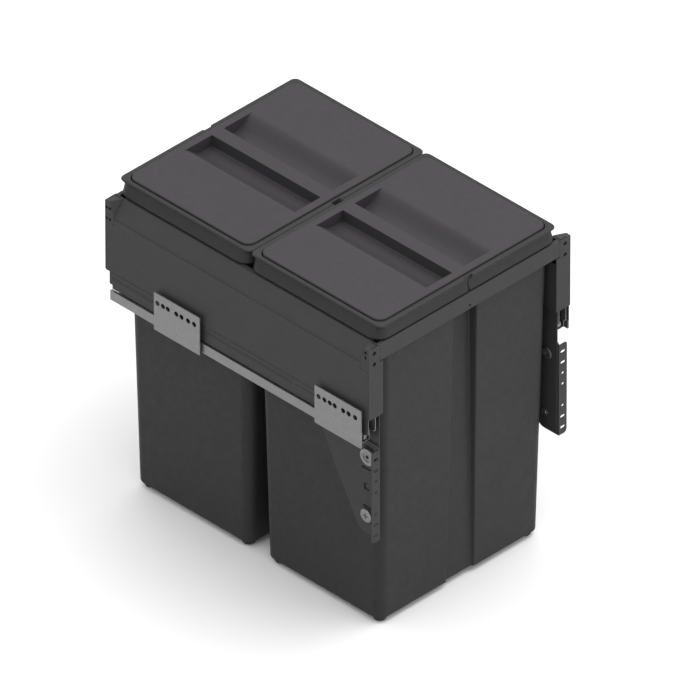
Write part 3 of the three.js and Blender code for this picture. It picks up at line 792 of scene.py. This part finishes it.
def lid_shell():
    """A flat deck with a rim, hollow below, and a scoop on either side of its grip bar."""
    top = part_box("front_lid")[1].z
    cad_x, cad_y = half_size("front_lid")
    skin, radius = 2.2 * MM, 13 * MM
    low = top - 7.9 * MM
    half_x, half_y = cad_x - 0.4 * MM, cad_y - 0.4 * MM
    edge = [(0.0, 1.8), (0.2, 1.0), (0.6, 0.4), (1.2, 0.1), (2.0, 0)]
    rings = [plan(half_x - 0.4 * MM, half_y - 0.4 * MM, radius, low),
             plan(half_x, half_y, radius, low + 0.4 * MM)]
    rings += [plan(half_x - inset * MM, half_y - inset * MM, radius - inset * MM, top - drop * MM)
              for inset, drop in edge]
    under = loft([plan(cad_x - skin, cad_y - skin, radius - skin, z)
                  for z in (low - 2 * MM, top - skin)])
    deck = carve(loft(rings), under)
    scoop_end = 93 * MM
    for side in (-1, 1):
        pan = [(side * u, v) for u, v in scoop_outline(skin, top - skin / 2, top)]
        deck = fuse(deck, prism(pan, "Y", -scoop_end - skin, scoop_end + skin))
    for side in (-1, 1):
        hollow = [(side * u, v) for u, v in scoop_outline(0, top + 3 * MM, top)]
        deck = carve(deck, prism(hollow, "Y", -scoop_end, scoop_end))
    return soften(deck, 0.7, 3, 42)


for part, make, crease in (("bin", bin_shell, 30), ("collar", collar, 34), ("lid", lid_shell, 34)):
    master = make()
    for end, side in (("front", 1), ("rear", -1)):
        settle(shifted(master, side * BIN_MIDDLE), f"{end}_{part}", crease)
    bpy.data.objects.remove(master)


# ---- floor, light and camera ----------------------------------------------------------------
FLOOR_HALF = 30  # far past the picture's edges
FLOOR_TOP = -0.5 * MM

floor_paint = bpy.data.materials.new("studio_floor")
floor_paint.use_nodes = True
floor_shader = floor_paint.node_tree.nodes["Principled BSDF"]
floor_shader.inputs["Base Color"].default_value = (0.96, 0.96, 0.96, 1)
floor_shader.inputs["Roughness"].default_value = 0.8

floor = slab((-FLOOR_HALF, FLOOR_HALF), (-FLOOR_HALF, FLOOR_HALF), (-20 * MM, FLOOR_TOP))
floor.name = "studio_floor"
floor.data.materials.append(floor_paint)
floor.visible_diffuse = False  # so it throws no light back up at the unit

# The sky is brightest a little to the right and front of straight up, and it dims downwards.
world = bpy.data.worlds.new("studio")
bpy.context.scene.world = world
world.use_nodes = True
sky = world.node_tree
sky_coords = sky.nodes.new("ShaderNodeTexCoord")
sky_height = sky.nodes.new("ShaderNodeVectorMath")
sky_height.operation = "DOT_PRODUCT"
sky_height.inputs[1].default_value = Vector((0.14, -0.14, 0.95)).normalized()
sky_level = sky.nodes.new("ShaderNodeMapRange")
for socket, value in (("From Min", -0.7), ("From Max", 1), ("To Min", 0.05), ("To Max", 1.5)):
    sky_level.inputs[socket].default_value = value
sky.links.new(sky_coords.outputs["Generated"], sky_height.inputs[0])
sky.links.new(sky_height.outputs["Value"], sky_level.inputs["Value"])
sky.links.new(sky_level.outputs["Result"], sky.nodes["Background"].inputs["Strength"])
sky.nodes["Background"].inputs["Color"].default_value = (1, 1, 1, 1)

LAMP_SPOT = Vector((0.6, -0.9, 3.0))
LAMP_AIM = Vector((0, 0, 0.25))
lamp_data = bpy.data.lights.new("key", "AREA")
lamp_data.size = 1.6
lamp_data.energy = 22
lamp = bpy.data.objects.new("key", lamp_data)
bpy.context.scene.collection.objects.link(lamp)
lamp.location = LAMP_SPOT
lamp.rotation_euler = (LAMP_AIM - LAMP_SPOT).to_track_quat("-Z", "Y").to_euler()

TARGET = Vector((0.0106, -0.0106, 0.2361))  # what the middle of the picture shows
BACK = Vector((-1, -1, 1)).normalized()  # an isometric view from the left, front and above
FIELD = 0.8475  # width of the picture at the target
LENS, SENSOR = 1600, 36  # in mm: so long a lens that the view has hardly any perspective
camera_data = bpy.data.cameras.new("camera")
camera_data.sensor_width = SENSOR
camera_data.lens = LENS
distance = FIELD * LENS / SENSOR
camera_data.clip_end = distance * 3
camera = bpy.data.objects.new("camera", camera_data)
bpy.context.scene.collection.objects.link(camera)
camera.location = TARGET + BACK * distance
camera.rotation_euler = (-BACK).to_track_quat("-Z", "Y").to_euler()
bpy.context.scene.camera = camera
bpy.context.scene.view_settings.view_transform = "Standard"
